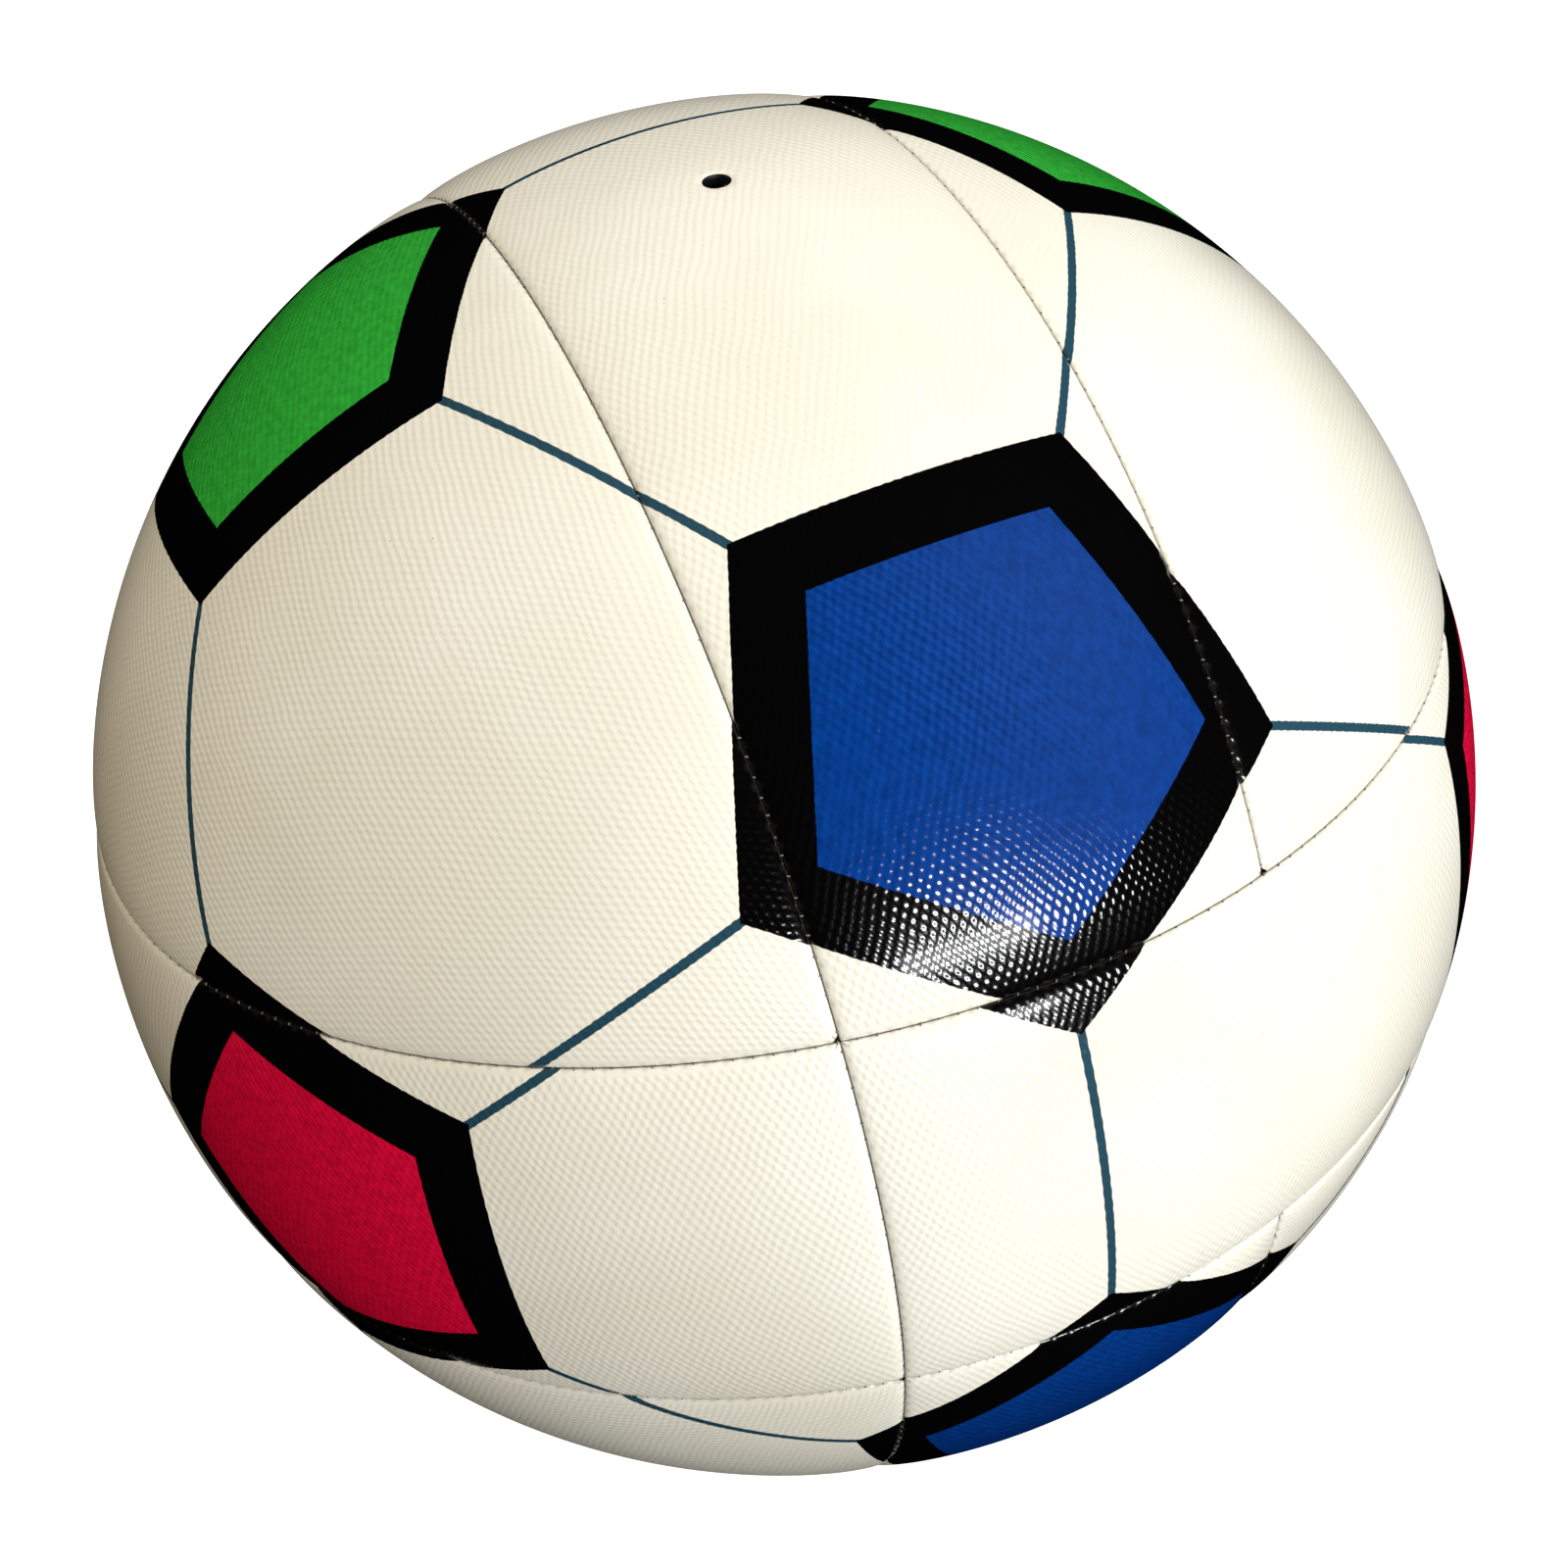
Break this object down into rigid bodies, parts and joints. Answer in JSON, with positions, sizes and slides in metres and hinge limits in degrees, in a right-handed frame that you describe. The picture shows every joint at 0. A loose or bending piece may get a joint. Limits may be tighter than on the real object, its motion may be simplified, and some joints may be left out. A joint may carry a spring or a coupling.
{
  "type": "soccer ball",
  "caption": "Stitched ball with a belt of panels and two caps of strips, over foam, lining, a bladder and an inflation valve.",
  "frame": {"origin": "the ball's centre", "axes": "+Z through the middle strip of the cap that has the valve, +X across that strip, and -Y towards the front, the side that the valve leans to"},
  "size_m": [0.2196, 0.2196, 0.22],
  "materials": {
    "cover": "semi-gloss synthetic leather with a fine embossed grain, printed",
    "foam": "matte closed-cell foam",
    "lining": "woven textile",
    "thread": "waxed polyester thread",
    "bladder": "smooth black butyl rubber",
    "valve": "smooth black rubber",
    "valve_core": "dark grey rubber",
    "patch": "rubberised fabric"
  },
  "bodies": {
    "root": {"cover_belt_front": "cover", "cover_belt_right": "cover", "cover_belt_back": "cover", "cover_belt_left": "cover", "cover_top_middle": "cover", "cover_top_right": "cover", "cover_top_left": "cover", "cover_bottom_middle": "cover", "cover_bottom_right": "cover", "cover_bottom_left": "cover", "foam_belt_front": "foam", "foam_belt_right": "foam", "foam_belt_back": "foam", "foam_belt_left": "foam", "foam_top_middle": "foam", "foam_top_right": "foam", "foam_top_left": "foam", "foam_bottom_middle": "foam", "foam_bottom_right": "foam", "foam_bottom_left": "foam", "lining_belt_front": "lining", "lining_belt_right": "lining", "lining_belt_back": "lining", "lining_belt_left": "lining", "lining_top_middle": "lining", "lining_top_right": "lining", "lining_top_left": "lining", "lining_bottom_middle": "lining", "lining_bottom_right": "lining", "lining_bottom_left": "lining", "thread_belt_top": "thread", "thread_belt_bottom": "thread", "thread_top_right": "thread", "thread_top_left": "thread", "thread_bottom_right": "thread", "thread_bottom_left": "thread", "thread_joint_front": "thread", "thread_joint_right": "thread", "thread_joint_back": "thread", "thread_joint_left": "thread", "bladder": "bladder", "valve_stem": "valve", "valve_core": "valve_core", "valve_patch": "patch", "balance_patch": "patch"}
  },
  "joints": []
}
